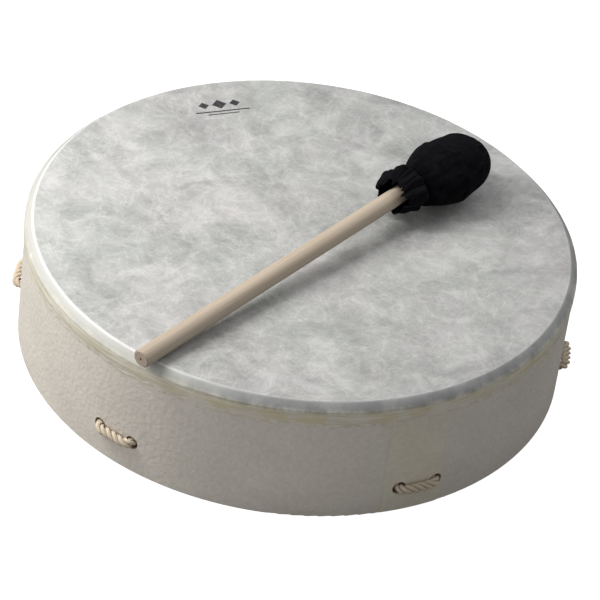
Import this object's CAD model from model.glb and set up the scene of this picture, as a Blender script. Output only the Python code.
"""Looks for a frame drum with a rope handle, and the padded mallet that lies on its head."""

import math
import random

import bpy
import numpy as np
from mathutils import Matrix, Vector, noise


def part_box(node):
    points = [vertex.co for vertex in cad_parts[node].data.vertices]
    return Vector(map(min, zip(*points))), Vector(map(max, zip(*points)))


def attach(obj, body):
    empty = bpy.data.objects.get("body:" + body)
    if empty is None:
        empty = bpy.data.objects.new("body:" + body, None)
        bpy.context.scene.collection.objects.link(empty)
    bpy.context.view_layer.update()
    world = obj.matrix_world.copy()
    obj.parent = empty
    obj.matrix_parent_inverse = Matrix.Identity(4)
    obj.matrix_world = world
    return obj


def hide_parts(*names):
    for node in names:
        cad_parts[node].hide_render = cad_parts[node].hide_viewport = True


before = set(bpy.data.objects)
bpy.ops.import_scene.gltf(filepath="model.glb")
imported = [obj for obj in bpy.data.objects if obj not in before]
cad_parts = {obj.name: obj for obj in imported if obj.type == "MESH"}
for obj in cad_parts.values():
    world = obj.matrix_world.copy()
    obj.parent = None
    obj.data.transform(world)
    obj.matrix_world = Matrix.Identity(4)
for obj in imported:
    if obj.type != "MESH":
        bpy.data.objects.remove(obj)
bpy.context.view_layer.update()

MM = 0.001
TAU = 2 * math.pi

# ---- places and sizes, from the frame ------------------------------------------------------
_, wrap_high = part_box("shell_wrap")
film_low, film_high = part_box("drumhead")
rope_low, rope_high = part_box("handle_rope_a")

DRUM_RADIUS = wrap_high.x
HEAD_Z = film_high.z
COLLAR_LOW = film_low.z
COLLAR_RADIUS = film_high.x
CREASE_RADIUS = COLLAR_RADIUS - 5 * MM
FOLD = 1.2 * MM
MARK_AT, MARK_SLANT = (-66 * MM, 128 * MM), math.radians(24)
ROPE_RADIUS = (rope_high.z - rope_low.z) / 2
LACING_Z = (rope_high.z + rope_low.z) / 2

# the rope handle's route repeats the design's own points
ROPE_GAP = 0.4 * MM
HUB_STEP = 2 * ROPE_RADIUS + ROPE_GAP
ROPES = {
    "a": (-1.4, LACING_Z, LACING_Z),
    "b": (56.5, LACING_Z + 1.5 * MM, LACING_Z + HUB_STEP),
    "c": (120.7, LACING_Z - 2.0 * MM, LACING_Z - HUB_STEP),
}
HOLE_HALF_ANGLE = 4.1
HUB_HALF = 24 * MM
STITCH_CORNER, STITCH_INSIDE = DRUM_RADIUS + 3.7 * MM, 171 * MM
INNER_BEND_AT = 160 * MM
KNOT_AT = 132 * MM
KNOT_HALF_LENGTH = 10 * MM
RING_RADIUS = 42 * MM
RING_FLAT = 15.0
RING_SIDES = (1, -1, 1, -1, -1, 1)
ROPE_LAY = 14.5 * MM
STRANDS = 3

# ---- camera and light ----------------------------------------------------------------------
CAMERA_PLACE = Vector((0, -1.7043, 1.3078))
CAMERA_HEADING, CAMERA_DIP, CAMERA_ROLL = 0.00236, 0.64211, 0.1364
CAMERA_LENS, SENSOR = 195.84, 36.0
KEY_PLACE = Vector((-0.46, -0.04, 0.62))
KEY_SIZE, KEY_WATTS = (0.16, 0.46), 5.25
FILL_PLACE = Vector((-1.2, -0.6, 0.4))
FILL_SIZE, FILL_WATTS = (0.6, 0.5), 3.1
TOP_PLACE = Vector((0.35, 0.45, 0.9))
TOP_SIZE, TOP_WATTS = (0.8, 0.8), 2.8
AMBIENT = 0.37


def make_camera():
    """The viewing angle: from the front and above, rolled a little."""
    forward = Vector((
        math.sin(CAMERA_HEADING) * math.cos(CAMERA_DIP),
        math.cos(CAMERA_HEADING) * math.cos(CAMERA_DIP),
        -math.sin(CAMERA_DIP),
    ))
    level = forward.cross(Vector((0, 0, 1))).normalized()
    upright = level.cross(forward)
    right = level * math.cos(CAMERA_ROLL) + upright * math.sin(CAMERA_ROLL)
    up = upright * math.cos(CAMERA_ROLL) - level * math.sin(CAMERA_ROLL)
    data = bpy.data.cameras.new("camera")
    data.lens, data.sensor_width = CAMERA_LENS, SENSOR
    data.clip_start, data.clip_end = 0.05, 50
    camera = bpy.data.objects.new("camera", data)
    bpy.context.collection.objects.link(camera)
    turn = Matrix((right, up, -forward)).transposed().to_4x4()
    camera.matrix_world = Matrix.Translation(CAMERA_PLACE) @ turn
    bpy.context.scene.camera = camera


def aim(obj, target):
    """Turns a light's -Z towards target."""
    obj.rotation_mode = "QUATERNION"
    obj.rotation_quaternion = (Vector(target) - obj.location).to_track_quat("-Z", "Y")


def area_light(name, place, size, watts, colour, target=(0, 0, 0.05)):
    """A rectangular soft light, of that width and height."""
    data = bpy.data.lights.new(name, "AREA")
    data.shape = "RECTANGLE"
    data.size, data.size_y = size
    data.energy, data.color = watts, colour
    light = bpy.data.objects.new(name, data)
    light.location = place
    bpy.context.collection.objects.link(light)
    aim(light, target)
    return light


# ---- a short way to write node materials ---------------------------------------------------
class Paint:
    """A procedural material, with the Principled shader's sockets set by name."""

    def __init__(self, name, **sockets):
        self.material = bpy.data.materials.new(name)
        self.material.use_nodes = True
        self.tree = self.material.node_tree
        self.shader = self.tree.nodes["Principled BSDF"]
        coordinates = self.tree.nodes.new("ShaderNodeTexCoord")
        self.place = coordinates.outputs["Object"]
        for socket, value in sockets.items():
            self.put(self.shader.inputs[socket.replace("_", " ")], value)

    def put(self, socket, value):
        """Links value to socket if it is another node's output, or else sets it."""
        if isinstance(value, bpy.types.NodeSocket):
            self.tree.links.new(value, socket)
        elif isinstance(value, (tuple, list)) and len(value) == 3 and socket.type == "RGBA":
            socket.default_value = (*value, 1)
        else:
            socket.default_value = value

    def node(self, kind, inputs, out=0, **settings):
        """Adds a node; inputs are by name or index, and settings are its own properties."""
        made = self.tree.nodes.new(kind)
        for key, value in settings.items():
            setattr(made, key, value)
        for key, value in inputs.items():
            self.put(made.inputs[key], value)
        return made.outputs[out]

    def maths(self, operation, a, b=0.0, clamp=False):
        """One Math node."""
        return self.node("ShaderNodeMath", {0: a, 1: b}, operation=operation, use_clamp=clamp)

    def total(self, *terms):
        """The sum of values, each times its share; terms are (value, share)."""
        whole = 0.0
        for value, share in terms:
            whole = self.maths("ADD", whole, self.maths("MULTIPLY", value, share))
        return whole

    def vector(self, operation, a, b):
        """One Vector Math node with a vector result."""
        return self.node("ShaderNodeVectorMath", {0: a, 1: b}, operation=operation)

    def scaled(self, place, x, y, z, offset=(0, 0, 0)):
        """place, scaled along each axis and moved."""
        return self.vector("ADD", self.vector("MULTIPLY", place, (x, y, z)), offset)

    def noise(self, place, scale, detail=3.0, roughness=0.5, distortion=0.0):
        """Noise from 0 to 1."""
        inputs = {"Vector": place, "Scale": scale, "Detail": detail,
                  "Roughness": roughness, "Distortion": distortion}
        return self.node("ShaderNodeTexNoise", inputs)

    def span(self, value, low, high, to_low=0.0, to_high=1.0):
        """value's stretch from low to high, eased, onto to_low to to_high."""
        inputs = {"Value": value, "From Min": low, "From Max": high,
                  "To Min": to_low, "To Max": to_high}
        return self.node("ShaderNodeMapRange", inputs, interpolation_type="SMOOTHSTEP")

    def mix(self, share, a, b, blend="MIX"):
        """Two colours mixed by share."""
        made = self.tree.nodes.new("ShaderNodeMix")
        made.data_type, made.blend_type = "RGBA", blend
        self.put(made.inputs[0], share)
        self.put(made.inputs[6], a)
        self.put(made.inputs[7], b)
        return made.outputs[2]

    def parts(self, place):
        """place's three parts."""
        made = self.tree.nodes.new("ShaderNodeSeparateXYZ")
        self.put(made.inputs[0], place)
        return made.outputs

    def bump(self, height, depth, normal=None):
        """A bump of that depth in metres, over any other."""
        inputs = {"Height": height, "Distance": depth, "Strength": 1.0}
        if normal is not None:
            inputs["Normal"] = normal
        return self.node("ShaderNodeBump", inputs)

    def colour(self, value):
        """Sets the surface's colour."""
        self.put(self.shader.inputs["Base Color"], value)

    def rough(self, value):
        """Sets the surface's roughness."""
        self.put(self.shader.inputs["Roughness"], value)

    def relief(self, value):
        """Sets the surface's normal."""
        self.put(self.shader.inputs["Normal"], value)


def strands(paint, place, degrees, along, across, seed):
    """Fine fibres that run mostly one way: the level lines of a stretched noise, in patches."""
    turned = paint.node("ShaderNodeVectorRotate", {
        "Vector": place, "Angle": math.radians(degrees),
    }, rotation_type="Z_AXIS")
    stretched = paint.scaled(turned, along, across, 0, (seed * 5.7, seed * 2.3, seed * 1.9))
    level = paint.noise(stretched, 1.0, 2.0, 0.55)
    line = paint.span(paint.maths("ABSOLUTE", paint.maths("SUBTRACT", level, 0.5)), 0.060, 0.005)
    longer = paint.scaled(turned, along * 1.6, across * 0.35, 0, (seed * 3.1, seed, 0))
    patch = paint.noise(longer, 1.0, 1.0)
    return paint.maths("MULTIPLY", line, paint.span(patch, 0.49, 0.63))


# ---- materials -----------------------------------------------------------------------------
def film_material():
    """Milky felted film, clearer over the bevel, with adhesive showing through the collar."""
    paint = Paint("fibrous_film", Specular_IOR_Level=0.32)
    x, y, z = paint.parts(paint.place)
    down = paint.maths("SUBTRACT", HEAD_Z, z)
    flat = paint.scaled(paint.place, 1, 1, 0)
    bend = paint.node("ShaderNodeTexNoise", {"Vector": flat, "Scale": 38.0, "Detail": 1.0}, out=1)
    warped = paint.vector("ADD", flat, paint.scaled(bend, 0.014, 0.014, 0, (-0.007, -0.007, 0)))

    web, count = 0.0, 9
    for k in range(count):
        along, across = 15 + 4 * (k % 3), 290 + 60 * (k % 4)
        fine = strands(paint, warped, 180 * k / count + 7, along, across, k + 1)
        web = paint.maths("ADD", web, fine)
    for k in range(4):
        web = paint.maths("ADD", web, strands(paint, warped, 45 * k + 20, 42, 640, k + 31))
    felt = paint.noise(flat, 230, 4, 0.65, 1.2)
    cloudy = paint.noise(flat, 36, 6, 0.62, 0.8)
    broad = paint.noise(flat, 15, 4, 0.55, 0.5)
    density = paint.total((cloudy, 0.70), (felt, 0.26), (broad, 0.36), (web, 0.062))
    milky = paint.node("ShaderNodeMapRange", {"Value": density, "From Min": 0.53, "From Max": 0.90})
    head = paint.mix(milky, (0.282, 0.286, 0.280), (0.512, 0.511, 0.505))
    tint = paint.noise(paint.scaled(flat, 1, 1, 1, (3.3, 1.7, 0)), 16, 2, 0.5)
    greener = paint.mix(1.0, head, (0.95, 1.0, 0.96), "MULTIPLY")
    pinker = paint.mix(1.0, head, (1.0, 0.955, 0.97), "MULTIPLY")
    head = paint.mix(paint.span(tint, 0.50, 0.62, 0.0, 0.4), head, greener)
    head = paint.mix(paint.span(tint, 0.48, 0.36, 0.0, 0.4), head, pinker)

    angle = paint.maths("ARCTAN2", y, x)
    streaked = paint.node("ShaderNodeCombineXYZ", {
        0: paint.maths("MULTIPLY", angle, 6.0), 1: paint.maths("MULTIPLY", z, 900.0), 2: 0.0,
    })
    streaks = paint.noise(streaked, 1.0, 6, 0.66, 0.9)
    blotches = paint.noise(paint.place, 60, 5, 0.65)
    lit_side = paint.span(paint.maths("ADD", x, paint.maths("MULTIPLY", y, 0.35)), -0.06, -0.18)
    blotchy = paint.span(blotches, 0.35, 0.65)
    clear = paint.mix(blotchy, (0.275, 0.282, 0.280), (0.375, 0.382, 0.378))
    clear = paint.mix(lit_side, clear, paint.mix(streaks, (0.43, 0.43, 0.40), (0.56, 0.56, 0.53)))
    amber = paint.mix(paint.span(streaks, 0.30, 0.70), (0.53, 0.48, 0.35), (0.76, 0.73, 0.64))
    amber = paint.mix(paint.span(blotches, 0.45, 0.68, 0, 0.5), amber, (0.72, 0.70, 0.64))
    thicker = paint.maths("SUBTRACT", 0.6, paint.maths("MULTIPLY", lit_side, 0.5))
    thicker = paint.maths("MULTIPLY", thicker, paint.span(blotches, 0.54, 0.38))
    amber = paint.mix(thicker, amber, (0.62, 0.54, 0.31))
    pale = paint.mix(paint.span(streaks, 0.35, 0.65), (0.60, 0.55, 0.47), (0.76, 0.72, 0.65))
    wander = paint.maths("MULTIPLY", paint.maths("SUBTRACT", blotches, 0.5), 0.008)
    depth = paint.maths("ADD", down, wander)
    collar = paint.mix(paint.span(depth, 0.0032, 0.0072), clear, amber)
    collar = paint.mix(paint.span(depth, 0.0112, 0.0145, 0, 0.9), collar, pale)
    reach = paint.node("ShaderNodeVectorMath", {0: flat}, out=1, operation="LENGTH")
    crease = paint.maths("ABSOLUTE", paint.maths("SUBTRACT", reach, CREASE_RADIUS))
    beyond = paint.span(reach, CREASE_RADIUS - 0.2 * MM, CREASE_RADIUS + 0.6 * MM)
    colour = paint.mix(beyond, head, collar)
    bright = paint.maths("ADD", paint.maths("MULTIPLY", lit_side, 0.42), 0.14)
    line = paint.maths("MULTIPLY", paint.span(crease, 0.0012, 0.0002), bright)
    paint.colour(paint.mix(line, colour, (0.84, 0.85, 0.86)))
    paint.rough(paint.span(milky, 0, 1, 0.42, 0.56))
    paint.relief(paint.bump(paint.total((web, 0.25), (felt, 0.9)), 0.07 * MM))
    return paint.material


def grain_material(name, light, dark, lift):
    """Covering with a small irregular paper grain, a little uneven in tone."""
    paint = Paint(name, Specular_IOR_Level=0.3)
    bend = paint.node("ShaderNodeTexNoise", {"Vector": paint.place, "Scale": 300.0}, out=1)
    bent = paint.vector("ADD", paint.place, paint.scaled(bend, 1.6 * MM, 1.6 * MM, 1.6 * MM))
    pebble = paint.node("ShaderNodeTexVoronoi", {"Vector": bent, "Scale": 380.0}, feature="SMOOTH_F1")
    coarse = paint.noise(paint.place, 290, 3, 0.6)
    fine = paint.noise(paint.place, 1500, 2, 0.5)
    broad = paint.noise(paint.place, 14, 4, 0.6)
    grain = paint.total((pebble, 0.8), (coarse, 0.7), (fine, 0.15))
    tone = paint.mix(paint.span(broad, 0.34, 0.66), dark, light)
    speck = paint.maths("MULTIPLY", paint.span(grain, 0.45, 1.05), 0.35)
    deeper = paint.mix(1.0, tone, (0.80, 0.79, 0.78), "MULTIPLY")
    paint.colour(paint.mix(speck, tone, deeper))
    paint.rough(paint.span(coarse, 0.3, 0.7, 0.52, 0.68))
    paint.relief(paint.bump(grain, lift))
    return paint.material


def shell_material():
    """Wound fibre board: tan, speckled, with faint spiral laps."""
    paint = Paint("fibre_board", Specular_IOR_Level=0.25)
    x, y, z = paint.parts(paint.place)
    angle = paint.maths("ARCTAN2", y, x)
    lap = paint.maths("ADD", paint.maths("MULTIPLY", z, 19.0), paint.maths("MULTIPLY", angle, 0.6))
    seam = paint.span(paint.maths("PINGPONG", lap, 1.0), 0.03, 0.0)
    wound = paint.node("ShaderNodeCombineXYZ", {
        0: paint.maths("MULTIPLY", angle, 9.0), 1: paint.maths("MULTIPLY", z, 420.0), 2: 0.0,
    })
    fibre = paint.noise(wound, 1.0, 5, 0.65, 0.4)
    speck = paint.noise(paint.place, 900, 3, 0.6)
    tone = paint.mix(paint.span(fibre, 0.28, 0.72), (0.36, 0.28, 0.19), (0.60, 0.51, 0.38))
    tone = paint.mix(paint.span(speck, 0.58, 0.72, 0, 0.6), tone, (0.24, 0.18, 0.12))
    paint.colour(paint.mix(paint.maths("MULTIPLY", seam, 0.7), tone, (0.25, 0.19, 0.13)))
    paint.rough(paint.span(fibre, 0.3, 0.7, 0.62, 0.78))
    height = paint.total((fibre, 1.0), (speck, 0.4), (seam, -1.0))
    paint.relief(paint.bump(height, 0.18 * MM))
    return paint.material


def glue_material():
    """Dried amber adhesive with a dull skin."""
    paint = Paint("amber_adhesive", Specular_IOR_Level=0.5)
    lumps = paint.noise(paint.place, 240, 4, 0.6)
    paint.colour(paint.mix(paint.span(lumps, 0.3, 0.7), (0.57, 0.52, 0.42), (0.74, 0.70, 0.61)))
    paint.rough(paint.span(lumps, 0.3, 0.7, 0.30, 0.5))
    paint.relief(paint.bump(lumps, 0.0004))
    return paint.material


def rope_material():
    """Cream cotton rope: yarns along each strand, a little dirt in the hollows."""
    paint = Paint("cream_rope", Specular_IOR_Level=0.2, Sheen_Weight=0.25, Sheen_Roughness=0.5)
    yarn = paint.node("ShaderNodeAttribute", {}, out=2, attribute_name="yarn")
    hollow = paint.node("ShaderNodeAttribute", {}, out=2, attribute_name="hollow")
    fuzz = paint.noise(paint.place, 2600, 3, 0.6)
    broad = paint.noise(paint.place, 70, 3, 0.5)
    tone = paint.mix(paint.span(broad, 0.3, 0.7), (0.52, 0.43, 0.325), (0.65, 0.56, 0.445))
    tone = paint.mix(paint.span(hollow, 0.25, 1.0, 0, 0.85), tone, (0.30, 0.225, 0.13))
    between = paint.maths("MULTIPLY", paint.span(yarn, 0.5, 0.05), 0.4)
    tone = paint.mix(between, tone, (0.45, 0.36, 0.23))
    paint.colour(paint.mix(paint.span(fuzz, 0.45, 0.75, 0, 0.3), tone, (0.80, 0.73, 0.61)))
    paint.rough(0.9)
    paint.relief(paint.bump(paint.total((fuzz, 1.0), (yarn, 0.5)), 0.16 * MM))
    return paint.material


def stick_material(origin, along, side, up):
    """Pale sanded dowel: fine grain along its length, and rings on its end faces."""
    paint = Paint("pale_dowel", Specular_IOR_Level=0.25)
    local = paint.vector("SUBTRACT", paint.place, tuple(origin))
    reach = [paint.node("ShaderNodeVectorMath", {0: local, 1: tuple(way)}, out=1, operation="DOT_PRODUCT")
             for way in (along, side, up)]
    tube = paint.node("ShaderNodeCombineXYZ", {0: reach[0], 1: reach[1], 2: reach[2]})
    grain = paint.noise(paint.scaled(tube, 9, 420, 420), 1.0, 5, 0.6, 0.35)
    pores = paint.noise(paint.scaled(tube, 40, 2400, 2400), 1.0, 3, 0.6)
    broad = paint.noise(paint.scaled(tube, 8, 60, 60), 1.0, 3, 0.5)
    tone = paint.mix(paint.span(grain, 0.3, 0.7), (0.385, 0.315, 0.240), (0.480, 0.405, 0.322))
    tone = paint.mix(paint.span(broad, 0.35, 0.65, 0, 0.5), tone, (0.470, 0.395, 0.312))
    tone = paint.mix(paint.span(pores, 0.58, 0.74, 0, 0.5), tone, (0.285, 0.228, 0.170))
    rings = paint.node("ShaderNodeTexWave", {
        "Vector": paint.scaled(tube, 0, 1, 1, (0, 0.9 * MM, -0.6 * MM)),
        "Scale": 210.0, "Distortion": 1.6, "Detail": 2.0,
    }, wave_type="RINGS", rings_direction="X")
    end = paint.span(reach[0], 0.0009, 0.0003)
    worn = paint.mix(paint.span(rings, 0.3, 0.8), (0.375, 0.298, 0.238), (0.485, 0.40, 0.332))
    paint.colour(paint.mix(end, tone, worn))
    paint.rough(paint.span(grain, 0.3, 0.7, 0.50, 0.64))
    paint.relief(paint.bump(paint.total((grain, 1.0), (pores, -0.6)), 0.07 * MM))
    return paint.material


def pad_material():
    """Black brushed cloth with a short uneven nap, a little greyer where it folds."""
    paint = Paint("black_cloth", Specular_IOR_Level=0.03, Sheen_Weight=0.015, Sheen_Roughness=0.6,
                  Sheen_Tint=(0.55, 0.56, 0.66))
    nap = paint.noise(paint.place, 1700, 4, 0.65)
    brushed = paint.noise(paint.place, 150, 4, 0.6, 0.8)
    uneven = paint.span(brushed, 0.3, 0.7)
    tone = paint.mix(uneven, (0.0020, 0.0018, 0.0025), (0.0055, 0.0050, 0.0066))
    tone = paint.mix(paint.span(nap, 0.55, 0.8, 0, 0.5), tone, (0.011, 0.0105, 0.013))
    folded = paint.node("ShaderNodeAttribute", {}, out=2, attribute_name="frill")
    paint.colour(paint.mix(folded, tone, (0.0050, 0.0050, 0.0062)))
    paint.rough(0.95)
    paint.relief(paint.bump(paint.total((nap, 1.0), (brushed, 0.8)), 0.3 * MM))
    return paint.material


def tie_material():
    """Black waxed cord."""
    paint = Paint("waxed_cord", Specular_IOR_Level=0.15)
    yarn = paint.node("ShaderNodeAttribute", {}, out=2, attribute_name="yarn")
    paint.colour(paint.mix(yarn, (0.003, 0.003, 0.0035), (0.010, 0.010, 0.012)))
    paint.rough(0.55)
    paint.relief(paint.bump(yarn, 0.0002))
    return paint.material


def ink_material():
    """Dark printing ink, slightly broken."""
    paint = Paint("dark_ink", Specular_IOR_Level=0.3)
    gaps = paint.noise(paint.place, 1400, 3, 0.6)
    worn = paint.span(gaps, 0.56, 0.72, 0, 0.8)
    paint.colour(paint.mix(worn, (0.030, 0.030, 0.034), (0.22, 0.22, 0.22)))
    paint.rough(0.5)
    return paint.material


def pale_material(name, value):
    """A plain stage surface, with a faint unevenness."""
    paint = Paint(name, Specular_IOR_Level=0.1)
    cloud = paint.noise(paint.place, 3, 2, 0.5)
    paint.colour(paint.mix(cloud, (value, value, value), (value * 1.02,) * 3))
    paint.rough(0.9)
    return paint


# ---- meshes --------------------------------------------------------------------------------
def make_object(name, vertices, faces, material, smooth=True):
    """A mesh object in the collection."""
    mesh = bpy.data.meshes.new(name)
    mesh.from_pydata([tuple(v) for v in vertices], [], faces)
    mesh.materials.append(material)
    if smooth:
        mesh.shade_smooth()
    made = bpy.data.objects.new(name, mesh)
    bpy.context.collection.objects.link(made)
    return made


def attribute(made, name, values):
    """A number for each vertex, for the material to read."""
    layer = made.data.attributes.new(name, "FLOAT", "POINT")
    layer.data.foreach_set("value", np.array(values, np.float32))


def grid_faces(rows, columns, round_columns, start=0, round_rows=False):
    """Faces over a grid of points, row by row, closed across the columns or the rows if asked."""
    faces = []
    for i in range(rows if round_rows else rows - 1):
        for j in range(columns if round_columns else columns - 1):
            a, b = start + i * columns + j, start + i * columns + (j + 1) % columns
            c = start + (i + 1) % rows * columns
            faces.append((a, b, c + (j + 1) % columns, c + j))
    return faces


def apply_modifiers(made):
    """Makes the object's modifiers part of its mesh."""
    done = bpy.data.meshes.new_from_object(made.evaluated_get(bpy.context.evaluated_depsgraph_get()))
    made.modifiers.clear()
    made.data = done


def smooth_route(points, closed=False):
    """The NURBS line through a route, as points."""
    curve = bpy.data.curves.new("route", "CURVE")
    curve.dimensions = "3D"
    spline = curve.splines.new("NURBS")
    spline.points.add(len(points) - 1)
    for point, place in zip(spline.points, points):
        point.co = (*place, 1)
    spline.order_u = 3
    spline.use_endpoint_u = not closed
    spline.use_cyclic_u = closed
    spline.resolution_u = 16
    holder = bpy.data.objects.new("route", curve)
    bpy.context.collection.objects.link(holder)
    mesh = bpy.data.meshes.new_from_object(holder.evaluated_get(bpy.context.evaluated_depsgraph_get()))
    line = [v.co.copy() for v in mesh.vertices]
    bpy.data.objects.remove(holder)
    bpy.data.meshes.remove(mesh)
    bpy.data.curves.remove(curve)
    return line + [line[0].copy()] if closed else line


def even_steps(line, step):
    """Points along line, a step apart."""
    line = np.array([tuple(p) for p in line])
    lengths = np.concatenate([[0], np.cumsum(np.linalg.norm(np.diff(line, axis=0), axis=1))])
    count = max(3, int(round(lengths[-1] / step)) + 1)
    at = np.linspace(0, lengths[-1], count)
    return np.stack([np.interp(at, lengths, line[:, k]) for k in range(3)], 1), lengths[-1]


def steady_frames(line):
    """Two directions across the line at each point, that turn as little as they can."""
    ways = np.gradient(line, axis=0)
    ways /= np.linalg.norm(ways, axis=1)[:, None]
    first = np.cross(ways[0], (0.31, 0.17, 0.93))
    sides = [first / np.linalg.norm(first)]
    for way in ways[1:]:
        side = sides[-1] - way * (sides[-1] @ way)
        sides.append(side / np.linalg.norm(side))
    sides = np.array(sides)
    return ways, sides, np.cross(ways, sides)


def squeeze(points):
    """How far a rope is pressed together at each point: most where it goes through the shell."""
    from_wall = np.abs(np.hypot(points[:, 0], points[:, 1]) - DRUM_RADIUS + 3 * MM)
    return np.interp(from_wall, (3 * MM, 12 * MM), (0.84, 1.0))


def laid_rope(line, radius, lay, closed=False, around=16, step=None, yarns=5, strands=STRANDS):
    """A laid rope's vertices, faces and yarn and hollow values, along a line of points."""
    points, length = even_steps(line, step or radius * 0.32)
    ways, sides, ups = steady_frames(points)
    count = len(points)
    turns = length / lay
    slip = 0.0
    if closed:
        turns = round(turns)
        slip = math.atan2(sides[-1] @ ups[0], sides[-1] @ sides[0])
    at = np.linspace(0, 1, count)
    radii = radius * squeeze(points)
    strand_radii = radii * 0.5
    vertices, faces, yarn, hollow = [], [], [], []
    last = count - 1 if closed else count
    for k in range(strands):
        turn = TAU * (k / strands + turns * at) - slip * at
        out = np.cos(turn)[:, None] * sides + np.sin(turn)[:, None] * ups
        over = -np.sin(turn)[:, None] * sides + np.cos(turn)[:, None] * ups
        centres = points + out * (radii - strand_radii)[:, None]
        start = len(vertices)
        for i in range(last):
            for j in range(around):
                a = TAU * j / around
                lobe = math.cos(yarns * (a - turn[i] * 1.6))
                r = strand_radii[i] * (1 + 0.045 * lobe)
                vertices.append(centres[i] + r * (math.cos(a) * out[i] + math.sin(a) * over[i]))
                yarn.append(0.5 + 0.5 * lobe)
                hollow.append(min(1.0, max(0.0, (0.45 - math.cos(a)) / 1.1)))
        faces += grid_faces(last, around, True, start, closed)
        if not closed:
            faces.append(tuple(range(start, start + around))[::-1])
            faces.append(tuple(range(len(vertices) - around, len(vertices))))
    return vertices, faces, yarn, hollow


def rope_object(name, bundles, material):
    """One object from several laid ropes."""
    vertices, faces, yarn, hollow = [], [], [], []
    for v, f, y, h in bundles:
        base = len(vertices)
        vertices += list(v)
        faces += [tuple(i + base for i in face) for face in f]
        yarn += y
        hollow += h
    made = make_object(name, vertices, faces, material)
    attribute(made, "yarn", yarn)
    attribute(made, "hollow", hollow)
    return made


def hairs(origins, ways, length, spread, radius, seed):
    """Thin tapering fibres from each origin, as rope parts."""
    chance = random.Random(seed)
    vertices, faces, yarn, hollow = [], [], [], []
    for origin, way in zip(origins, ways):
        lean = Vector([chance.uniform(-1, 1) for _ in range(3)]) * spread
        path, here, heading = [Vector(origin)], Vector(origin), (Vector(way) + lean).normalized()
        curl = Vector([chance.uniform(-1, 1) for _ in range(3)]) * spread * 0.6
        reach = length * chance.uniform(0.5, 1.0)
        for _ in range(3):
            here = here + heading * reach / 3
            heading = (heading + curl).normalized()
            path.append(here)
        side = heading.orthogonal().normalized()
        over = heading.cross(side)
        start = len(vertices)
        for k, place in enumerate(path):
            r = radius * (1 - 0.25 * k)
            for j in range(3):
                a = TAU * j / 3
                vertices.append(place + r * (math.cos(a) * side + math.sin(a) * over))
                yarn.append(0.8)
                hollow.append(0.1)
        faces += grid_faces(len(path), 3, True, start)
        faces.append((start + 2, start + 1, start))
        faces.append((len(vertices) - 3, len(vertices) - 2, len(vertices) - 1))
    return vertices, faces, yarn, hollow


# ---- the drum ------------------------------------------------------------------------------
def ragged(angle, seed, amount):
    """An uneven edge's height at that angle, the same at 0 and at a full turn."""
    x, y = math.cos(angle), math.sin(angle)
    broad = noise.noise(Vector((x * 5, y * 5, seed)))
    small = noise.noise(Vector((x * 24, y * 24, seed + 4)))
    fine = noise.noise(Vector((x * 90, y * 90, seed + 9)))
    return amount * (0.9 * broad + 0.6 * small + 0.35 * fine)


def make_film(material):
    """The head: flat, folded over the bevel, with an uneven collar that feathers out at its edge."""
    columns = 720
    bevel = COLLAR_RADIUS - CREASE_RADIUS
    low_fold = HEAD_Z - bevel
    cut = FOLD * math.tan(math.radians(22.5))
    slope = cut / math.sqrt(2)
    route = [
        (CREASE_RADIUS - cut, HEAD_Z), (CREASE_RADIUS - 0.15 * MM, HEAD_Z - 0.12 * MM),
        (CREASE_RADIUS + slope, HEAD_Z - slope), (COLLAR_RADIUS - bevel / 2, HEAD_Z - bevel / 2),
        (COLLAR_RADIUS - slope, low_fold + slope), (COLLAR_RADIUS - 0.12 * MM, low_fold - 0.15 * MM),
        (COLLAR_RADIUS, low_fold - cut),
    ]
    rings = [(0.02 * k, HEAD_Z) for k in range(1, 9)] + route
    rows = 14
    vertices = [(0, 0, HEAD_Z)]
    for radius, z in rings:
        for j in range(columns):
            a = TAU * j / columns
            wave = noise.noise(Vector((math.cos(a) * 22, math.sin(a) * 22, z * 90)))
            r = radius + (0.12 * MM * wave if radius > CREASE_RADIUS else 0)
            vertices.append((r * math.cos(a), r * math.sin(a), z))
    top = route[-1][1]
    for i in range(1, rows + 1):
        for j in range(columns):
            a = TAU * j / columns
            low = COLLAR_LOW + 0.2 * MM + ragged(a, 2.0, 1.8 * MM)
            z = top + (low - top) * i / rows
            ridge = noise.noise(Vector((math.cos(a) * 9, math.sin(a) * 9, z * 520)))
            wave = noise.noise(Vector((math.cos(a) * 40, math.sin(a) * 40, z * 60)))
            feather = max(0.0, (i / rows - 0.55) / 0.45)
            outside = COLLAR_RADIUS - (COLLAR_RADIUS - DRUM_RADIUS - 0.05 * MM) * feather
            r = outside + min(1.0, i / 4) * (1 - 0.7 * feather) * (0.22 * ridge + 0.12 * wave) * MM
            vertices.append((r * math.cos(a), r * math.sin(a), z))
    count = len(rings) + rows
    faces = [(0, 1 + j, 1 + (j + 1) % columns) for j in range(columns)]
    faces += [face[::-1] for face in grid_faces(count, columns, True, 1)]
    made = make_object("fibrous_head", vertices, faces, material)
    made.modifiers.new("thickness", "SOLIDIFY").thickness = 0.25 * MM
    made.modifiers["thickness"].offset = -1
    apply_modifiers(made)
    return made


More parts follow.
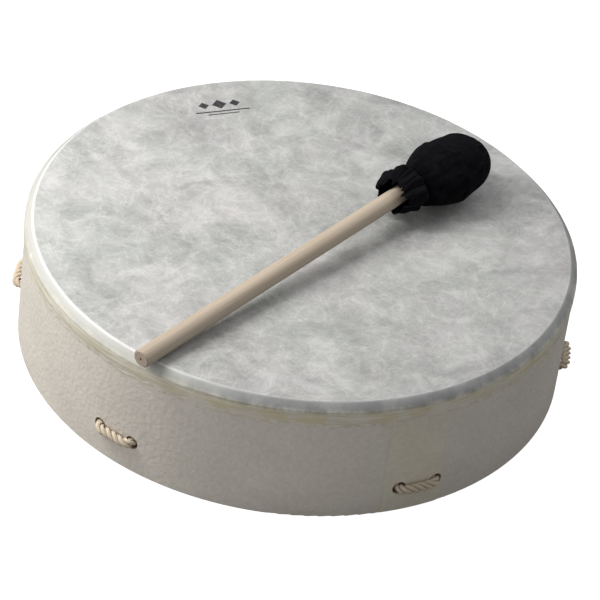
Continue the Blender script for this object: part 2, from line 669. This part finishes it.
def make_glue(material):
    """Adhesive squeezed out in an uneven line under the collar's edge."""
    columns, rows = 1080, 8
    vertices = []
    for i in range(rows):
        share = i / (rows - 1)
        for j in range(columns):
            a = TAU * j / columns
            edge = COLLAR_LOW + ragged(a, 2.0, 2.3 * MM)
            drop = (1.0 + 1.6 * noise.noise(Vector((math.cos(a) * 30, math.sin(a) * 30, 7)))) * MM
            low = edge - max(0.25 * MM, drop)
            z = edge + 1.5 * MM + (low - edge - 1.5 * MM) * share
            lumps = 0.26 + 0.15 * noise.noise(Vector((a * 30, 0, z * 900)))
            swell = math.sin(math.pi * (0.25 + 0.75 * share)) * lumps
            r = DRUM_RADIUS + 0.02 * MM + max(0, swell) * MM
            vertices.append((r * math.cos(a), r * math.sin(a), z))
    faces = [face[::-1] for face in grid_faces(rows, columns, True)]
    return make_object("adhesive_line", vertices, faces, material)


def make_mark(material):
    """A small made-up printed mark on the head: three lozenges over two lines."""
    centre = Vector((*MARK_AT, HEAD_Z))
    along = Vector((math.cos(MARK_SLANT), math.sin(MARK_SLANT), 0))
    over = Vector((-math.sin(MARK_SLANT), math.cos(MARK_SLANT), 0))
    vertices, faces = [], []

    def plate(outline):
        base = len(vertices)
        for lift in (0.01 * MM, 0.05 * MM):
            for x, y in outline:
                vertices.append(centre + along * x * MM + over * y * MM + Vector((0, 0, lift)))
        count = len(outline)
        faces.append(tuple(range(base + count, base + 2 * count)))
        faces.append(tuple(range(base, base + count))[::-1])
        for k in range(count):
            n = (k + 1) % count
            faces.append((base + k, base + n, base + count + n, base + count + k))

    for x, half in ((-11, 3.8), (0, 5.2), (11, 3.8)):
        plate([(x - half, 4), (x, 4 - half), (x + half, 4), (x, 4 + half)])
    plate([(-19, -4.6), (19, -4.6), (19, -3.4), (-19, -3.4)])
    plate([(-11, -7.6), (11, -7.6), (11, -6.7), (-11, -6.7)])
    return make_object("printed_mark", vertices, faces, material, smooth=False)


# ---- the rope handle -----------------------------------------------------------------------
def turned(points, degrees):
    """Points turned round the drum's axis."""
    turn = Matrix.Rotation(math.radians(degrees), 3, "Z")
    return [turn @ p for p in points]


def run_point(x, side, heights, end=1):
    """Where a run between hub and hole is at x along its pair, on one side; end is +1 or -1."""
    lacing_z, hub_z = heights
    far_y = INNER_BEND_AT * math.tan(math.radians(HOLE_HALF_ANGLE))
    share = (x - HUB_HALF) / (INNER_BEND_AT - HUB_HALF)
    y = HUB_STEP / 2 + share * (far_y - HUB_STEP / 2)
    return Vector((end * x, side * y, hub_z + share * (lacing_z - hub_z)))


def stitch(lacing_z, end):
    """The points of one stitch outside the shell, from the +Y hole to the -Y one."""
    a = math.radians(HOLE_HALF_ANGLE)
    outside = [(STITCH_CORNER, side) for side in (1, 0, -1)]
    places = [(STITCH_INSIDE, 1), *outside, (STITCH_INSIDE, -1)]
    return [Vector((end * r * math.cos(a), side * r * math.sin(a), lacing_z)) for r, side in places]


def make_handle_rope(letter, material):
    """One doubled rope across the drum, laced out through the shell at both ends."""
    angle, *heights = ROPES[letter]
    lacing_z = heights[0]
    points = [run_point(KNOT_AT - KNOT_HALF_LENGTH, 1, heights)]
    points += [run_point(HUB_HALF, 1, heights), run_point(HUB_HALF, 1, heights, -1)]
    points += [run_point(INNER_BEND_AT, 1, heights, -1)] + stitch(lacing_z, -1)
    points += [run_point(INNER_BEND_AT, -1, heights, -1)]
    points += [run_point(HUB_HALF, -1, heights, -1), run_point(HUB_HALF, -1, heights)]
    points += [run_point(INNER_BEND_AT, -1, heights)] + stitch(lacing_z, 1)[::-1]
    points += [run_point(INNER_BEND_AT, 1, heights)]
    points += [run_point(KNOT_AT + KNOT_HALF_LENGTH, 1, heights)]
    line = smooth_route(turned(points, angle))
    made = rope_object(f"rope_{letter}", [laid_rope(line, ROPE_RADIUS, ROPE_LAY)], material)
    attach(made, "drum")
    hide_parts(f"handle_rope_{letter}")


def make_knot(letter, material):
    """The barrel knot: the run goes on through, and the free end winds round it."""
    angle, *heights = ROPES[letter]
    seed = ord(letter)
    inner = run_point(KNOT_AT - KNOT_HALF_LENGTH, 1, heights)
    outer = run_point(KNOT_AT + KNOT_HALF_LENGTH, 1, heights)
    middle, along = (inner + outer) / 2, (outer - inner).normalized()
    out = Vector((0, 1, 0)) - along * along.y
    out.normalize()
    up = along.cross(out) * -1
    core = [inner, middle + out * 0.2 * MM, outer]
    winding = 6.6 * MM
    start, end, pitch = math.pi / 2, math.pi / 2 + 2.5 * TAU, 6.9 * MM
    line = []
    for r, lean in ((25, -1), (19, -0.75), (12, -0.5), (5, -0.25)):
        rise = winding - (r - 5) * 0.22 * MM
        line.append(middle + out * r * MM + up * rise + along * lean * 15 * MM)
    steps = 60
    for i in range(1, steps):
        a = start + (end - start) * i / steps
        forward = pitch * ((a - start) / TAU - 1.25)
        round_core = out * winding * math.cos(a) + up * winding * math.sin(a)
        line.append(middle + along * forward + round_core)
    for r, lean in ((5, 0.3), (12, 0.55), (18, 0.8), (24, 1.05)):
        fall = winding + (r - 5) * 0.12 * MM
        line.append(middle + out * r * MM - up * fall + along * lean * 15 * MM)
    smooth = smooth_route(turned(line, angle))
    bundles = [laid_rope(smooth, ROPE_RADIUS * 0.97, ROPE_LAY),
               laid_rope(turned(core, angle), ROPE_RADIUS, ROPE_LAY)]
    tips = ((smooth[0], smooth[0] - smooth[6], 1), (smooth[-1], smooth[-1] - smooth[-7], 2))
    for tip, way, more in tips:
        chance = random.Random(seed + 10 * more)
        side = way.orthogonal().normalized()
        over = way.normalized().cross(side)
        origins = []
        for _ in range(70):
            a, r = chance.uniform(0, TAU), ROPE_RADIUS * 0.85 * math.sqrt(chance.random())
            spot = math.cos(a) * side + math.sin(a) * over
            origins.append(tip - way.normalized() * MM + r * spot)
        ways = [way.normalized()] * len(origins)
        bundles.append(hairs(origins, ways, 6 * MM, 0.35, 0.22 * MM, seed + more))
    made = rope_object(f"knot_{letter}", bundles, material)
    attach(made, "drum")
    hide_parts(f"handle_knot_{letter}")


def make_ring(material):
    """The rope laid round the six pairs, over some and under the others."""
    points = []
    for k, over in enumerate(RING_SIDES):
        angle, *heights = ROPES["abc"[k % 3]]
        angle += 180 * (k // 3)
        z = run_point(RING_RADIUS, 1, heights).z + over * HUB_STEP
        for side in (-1, 1):
            a = math.radians(angle + side * RING_FLAT)
            points.append(Vector((RING_RADIUS * math.cos(a), RING_RADIUS * math.sin(a), z)))
    line = smooth_route(points, closed=True)
    made = rope_object("ring_rope", [laid_rope(line, ROPE_RADIUS, ROPE_LAY, closed=True)], material)
    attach(made, "drum")
    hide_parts("handle_ring")


# ---- the mallet ----------------------------------------------------------------------------
def mallet_axes():
    """The mallet's butt, and its directions: along the stick, to its left and up."""
    points = np.array([tuple(v.co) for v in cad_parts["mallet_stick"].data.vertices])
    middle = points.mean(0)
    along = np.linalg.svd(points - middle, full_matrices=False)[2][0]
    along = Vector(along) * (1 if along[1] > 0 else -1)
    reach = (points - middle) @ np.array(along)
    low_end, high_end = points[reach < reach.min() + 1e-4], points[reach > reach.max() - 1e-4]
    butt, tip = Vector(low_end.mean(0)), Vector(high_end.mean(0))
    along = (tip - butt).normalized()
    side = Vector((0, 0, 1)).cross(along).normalized()
    return butt, along, side, along.cross(side)


PAD_AT, PAD_HALF_LENGTH = 277.5 * MM, 35 * MM
PAD_HALF_WIDTH, PAD_HALF_HEIGHT = 25.4 * MM, 20.5 * MM
PAD_RIGHT = 3.4 * MM
PAD_LEAN = 0.4 * MM  # how much further right its tip is
SHOULDER_AT, NECK_RADIUS = 255.5 * MM, 9 * MM
TIE_AT, TIE_LINE, TIE_KNOT_LINE = 252.5 * MM, 10.1 * MM, 12.6 * MM
KNOT_TURN = math.radians(-30)
# the frill from the tie to its edge: distance from the butt, and radius
FRILL_SHARES = (0, 0.10, 0.22, 0.36, 0.52, 0.68, 0.84, 1)
FRILL_REACHES = tuple(mm * MM for mm in (250.4, 250.2, 248.8, 246.2, 242.8, 239.2, 235.8, 232.6))
FRILL_RADII = tuple(mm * MM for mm in (8.9, 11.4, 14.2, 15.9, 16.0, 14.9, 13.4, 12.0))
# where the cloth's corners hang longer, and by how much
FRILL_CORNERS = ((43, 5.0 * MM), (130, 2.0 * MM), (235, 3.0 * MM), (320, 1.0 * MM))
CLOTH_SCALE = 10  # the cloth is simulated at this many times its size
CLOTH_STEPS, CLOTH_MOVE = 20, 2.0 * MM  # how long it runs, and the most that a point may move


def pouch_rings():
    """The pad from its tip to the neck.

    Each ring is (distance, half width, half height, middle's offset left, and up).
    """
    steps = 48
    end = math.acos((SHOULDER_AT + 3.5 * MM - PAD_AT) / PAD_HALF_LENGTH)
    rings = []
    for i in range(1, steps + 1):
        a = end * (i / steps) ** 0.9
        share = math.cos(a)
        blunt = math.sin(a) ** (0.78 if share > 0 else 1.0)
        fuller = 3.0 * MM * share
        taper = 1 + 0.24 * min(0.0, share)
        reach = PAD_AT + (PAD_HALF_LENGTH - 0.6 * MM) * share
        left = -PAD_RIGHT - PAD_LEAN * share
        wide = (PAD_HALF_WIDTH - 2.3 * MM + fuller) * blunt * taper
        rings.append((reach, wide, PAD_HALF_HEIGHT * blunt * taper, left, 0.3 * MM))
    _, wide, high, left, up = rings[-1]
    closing = ((1.6, 0.93), (2.9, 0.80), (3.8, 0.62), (4.4, 0.42), (4.8, 0.22), (5.2, 0.08))
    for back, share in closing:
        reach = SHOULDER_AT + 3.5 * MM - back * MM
        half_sizes = [NECK_RADIUS + (size - NECK_RADIUS) * share for size in (wide, high)]
        rings.append((reach, *half_sizes, left * share, up * share))
    return rings


def gathers(angle):
    """The folds round the neck: uneven, and the same after a full turn."""
    x, y = math.cos(angle), math.sin(angle)
    shift = 1.1 * noise.noise(Vector((x * 1.5, y * 1.5, 3)))
    fold = math.sin(7 * angle + 3.2 * shift) + 0.7 * math.sin(4 * angle + 2.0 + 2.4 * shift)
    return fold / 1.7 + 0.4 * noise.noise(Vector((x * 5, y * 5, 8)))


def frill_point(angle, share):
    """(distance along, radius) of the frill: it swells out behind the tie and droops to its edge."""
    reach = np.interp(share, FRILL_SHARES, FRILL_REACHES)
    radius = np.interp(share, FRILL_SHARES, FRILL_RADII)
    longer = 0.0
    for at, extra in FRILL_CORNERS:
        longer += extra * max(0.0, math.cos(angle - math.radians(at))) ** 14
    droop = max(0.0, share - 0.55) / 0.45
    x, y = math.cos(angle), math.sin(angle)
    uneven = noise.noise(Vector((x * 3, y * 3, 5)))
    crumple = noise.noise(Vector((x * 9, y * 9, share * 3.5)))
    reach -= droop * (longer + 1.6 * uneven * MM) - share * 2.4 * crumple * MM
    below = max(0.0, math.cos(angle - math.radians(240)))
    depth = min(1.0, share / 0.35)
    radius += depth * (1.9 * gathers(angle) + 1.0 * uneven + 2.2 * crumple - 3.4 * below) * MM
    return reach, max(radius, 7.2 * MM)


def make_cover(butt, along, side, up, material):
    """The pouch and its frill: laid out with gathers, then settled as cloth under a little pressure."""
    columns = 176
    rings = pouch_rings()
    points, pins, frill = [], [], []

    def add(reach, y, z, pin, edge):
        points.append((reach, y, z))
        pins.append(pin)
        frill.append(edge)

    add(PAD_AT + PAD_HALF_LENGTH - 0.7 * MM, -PAD_LEAN - PAD_RIGHT, 0.3 * MM, 0.0, 0.0)
    for i, (reach, wide, high, left, lift) in enumerate(rings):
        nearness = (i / (len(rings) - 1)) ** 5
        for j in range(columns):
            a = TAU * j / columns
            uneven = noise.noise(Vector((reach * 60, math.cos(a), math.sin(a))))
            swell = 1 + 0.07 * nearness * gathers(a) + 0.012 * uneven
            y, z = wide * swell * math.cos(a), high * swell * math.sin(a)
            add(reach, y + left, z + lift, nearness, 0.0)
    for reach in (TIE_AT + 1.2 * MM, TIE_AT, TIE_AT - 1.6 * MM):
        for j in range(columns):
            a = TAU * j / columns
            r = (NECK_RADIUS - 0.2 * MM) * (1 + 0.03 * gathers(a))
            add(reach, r * math.cos(a), r * math.sin(a), 1.0, 0.0)
    frill_rows = 18
    for i in range(frill_rows):
        share = i / (frill_rows - 1)
        for j in range(columns):
            a = TAU * j / columns
            reach, r = frill_point(a, share)
            add(reach, r * math.cos(a), r * math.sin(a), 1.0 - 0.6 * share, min(1.0, share * 3))
    rows = (len(points) - 1) // columns
    faces = [(0, 1 + (j + 1) % columns, 1 + j) for j in range(columns)]
    faces += grid_faces(rows, columns, True, 1)
    made = make_object("padded_cover", [Vector(v) * CLOTH_SCALE for v in points], faces, material)
    settle(made, pins)
    attribute(made, "frill", frill)
    place = Matrix((along, side, up)).transposed().to_4x4()
    made.data.transform(Matrix.Translation(butt) @ place @ Matrix.Scale(1 / CLOTH_SCALE, 4))
    return made


def settle(made, pins):
    """Runs the cloth: pinned at the neck, pressed out from inside, for a few steps."""
    before = np.array([tuple(v.co) for v in made.data.vertices])
    group = made.vertex_groups.new(name="pins")
    for i, weight in enumerate(pins):
        group.add([i], weight, "REPLACE")
    cloth = made.modifiers.new("cloth", "CLOTH")
    cloth.settings.quality = 6
    cloth.settings.mass = 0.3
    cloth.settings.tension_stiffness = 25
    cloth.settings.compression_stiffness = 25
    cloth.settings.shear_stiffness = 12
    cloth.settings.bending_stiffness = 0.6
    cloth.settings.vertex_group_mass = "pins"
    cloth.settings.use_pressure = True
    cloth.settings.uniform_pressure_force = 3.0
    cloth.settings.effector_weights.gravity = 0
    cloth.collision_settings.use_collision = False
    cloth.collision_settings.use_self_collision = False
    cloth.point_cache.frame_start, cloth.point_cache.frame_end = 1, 24
    for step in range(1, CLOTH_STEPS + 1):
        bpy.context.scene.frame_set(step)
    settled = made.evaluated_get(bpy.context.evaluated_depsgraph_get())
    after = np.array([tuple(v.co) for v in settled.data.vertices])
    move = after - before
    size = np.linalg.norm(move, axis=1)
    print("cloth moved", round(float(size.mean()), 4), round(float(size.max()), 4))
    most = CLOTH_MOVE * CLOTH_SCALE
    move *= np.minimum(1.0, most / np.maximum(size, 1e-9))[:, None]
    made.modifiers.clear()
    made.vertex_groups.clear()
    made.data.vertices.foreach_set("co", (before + move).astype(np.float32).ravel())
    made.data.update()
    bpy.context.scene.frame_set(1)


def finish_cover(made):
    """Gives the cloth its thickness and one subdivision."""
    thick = made.modifiers.new("thickness", "SOLIDIFY")
    thick.thickness, thick.offset = 1.0 * MM, -1
    finer = made.modifiers.new("finer", "SUBSURF")
    finer.levels = finer.render_levels = 1
    apply_modifiers(made)
    made.data.shade_smooth()


def make_tie(butt, along, side, up, material):
    """The cord wound round the neck, its knot and its two ends."""
    def at(reach, angle, radius):
        outward = side * radius * math.cos(angle) + up * radius * math.sin(angle)
        return butt + along * reach + outward

    def cord_line(line, radius):
        return laid_rope(line, radius, 3 * MM, around=8, yarns=2, step=0.5 * MM)

    cord = 0.8 * MM
    turns, pitch = 3, 1.7 * MM
    wound = []
    for i in range(turns * 24 + 1):
        a = KNOT_TURN + TAU * i / 24
        wound.append(at(TIE_AT + pitch * (i / 24 - turns / 2), a, TIE_LINE))
    lump = []
    for i in range(26):
        a = TAU * i / 12
        reach = TIE_AT + 1.9 * MM * math.cos(a)
        radius = TIE_KNOT_LINE + 1.2 * MM * math.sin(a)
        lump.append(at(reach, KNOT_TURN + 0.14 * math.sin(a * 1.5), radius))
    ends = []
    for lean, reach in ((-1, 1.0), (1, 0.72)):
        ends.append([
            at(TIE_AT, KNOT_TURN, TIE_KNOT_LINE),
            at(TIE_AT - 1 * MM, KNOT_TURN + 0.18 * lean, 15.0 * MM),
            at(TIE_AT - 2 * MM * reach, KNOT_TURN + 0.40 * lean, 16.6 * MM),
            at(TIE_AT - 3 * MM * reach, KNOT_TURN + 0.64 * lean, 17.4 * MM),
        ])
    winding = rope_object("tie_turns", [cord_line(wound, cord)], material)
    bits = [cord_line(smooth_route(lump), cord)]
    bits += [cord_line(smooth_route(line), cord * 0.9) for line in ends]
    knot = rope_object("tie_bow_knot", bits, material)
    for piece, node in ((winding, "mallet_tie"), (knot, "mallet_tie_knot")):
        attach(piece, "mallet")
        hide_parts(node)


# ---- stage ---------------------------------------------------------------------------------
def make_stage():
    """A pale floor and a plain white surround."""
    half = 6.0
    corners = [(-half, -half, 0), (half, -half, 0), (half, half, 0), (-half, half, 0)]
    floor = make_object("floor", corners, [(0, 1, 2, 3)], floor_material(), smooth=False)
    floor.location.z = -0.0002
    world = bpy.data.worlds.new("world")
    bpy.context.scene.world = world
    world.use_nodes = True
    tree = world.node_tree
    sky = tree.nodes["Background"]
    rays = tree.nodes.new("ShaderNodeLightPath")
    level = tree.nodes.new("ShaderNodeMapRange")
    level.inputs["To Min"].default_value = AMBIENT
    level.inputs["To Max"].default_value = 1.0
    tree.links.new(rays.outputs["Is Camera Ray"], level.inputs["Value"])
    tree.links.new(level.outputs[0], sky.inputs["Strength"])
    sky.inputs["Color"].default_value = (1, 1, 1, 1)


def floor_material():
    """White paper floor: it shows near white, and throws only a little light back up."""
    paint = pale_material("floor_paper", 0.30)
    glow = paint.tree.nodes.new("ShaderNodeEmission")
    glow.inputs["Strength"].default_value = 1.0
    rays = paint.tree.nodes.new("ShaderNodeLightPath")
    both = paint.tree.nodes.new("ShaderNodeAddShader")
    choose = paint.tree.nodes.new("ShaderNodeMixShader")
    output = paint.tree.nodes["Material Output"]
    links = paint.tree.links
    links.new(paint.shader.outputs[0], both.inputs[0])
    links.new(glow.outputs[0], both.inputs[1])
    links.new(rays.outputs["Is Camera Ray"], choose.inputs[0])
    links.new(paint.shader.outputs[0], choose.inputs[1])
    links.new(both.outputs[0], choose.inputs[2])
    links.new(choose.outputs[0], output.inputs["Surface"])
    return paint.material


def repaint(node, material):
    """A better material on a CAD node that keeps its shape."""
    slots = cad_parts[node].data.materials
    slots.clear()
    slots.append(material)


make_camera()
bpy.context.scene.view_settings.view_transform = "Standard"
make_stage()
area_light("key", KEY_PLACE, KEY_SIZE, KEY_WATTS, (1.0, 0.985, 0.96))
area_light("fill", FILL_PLACE, FILL_SIZE, FILL_WATTS, (1.0, 0.98, 0.955))
area_light("top", TOP_PLACE, TOP_SIZE, TOP_WATTS, (1.0, 1.0, 1.0))

film = make_film(film_material())
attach(film, "drum")
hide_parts("drumhead")
adhesive = make_glue(glue_material())
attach(adhesive, "drum")
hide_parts("collar_glue")
mark = make_mark(ink_material())
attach(mark, "drum")

repaint("shell", shell_material())
repaint("shell_wrap", grain_material("paper_grain", (0.71, 0.665, 0.60), (0.65, 0.61, 0.55), 0.00032))
repaint("wrap_joint_strip", grain_material("strip_grain", (0.72, 0.68, 0.57), (0.66, 0.62, 0.52), 0.00016))

cream = rope_material()
for letter in ROPES:
    make_handle_rope(letter, cream)
    make_knot(letter, cream)
make_ring(cream)

butt, along, side, up = mallet_axes()
repaint("mallet_stick", stick_material(butt, along, side, up))
cloth_paint = pad_material()
cover = make_cover(butt, along, side, up, cloth_paint)
finish_cover(cover)
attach(cover, "mallet")
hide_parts("mallet_cover", "mallet_core")
make_tie(butt, along, side, up, tie_material())
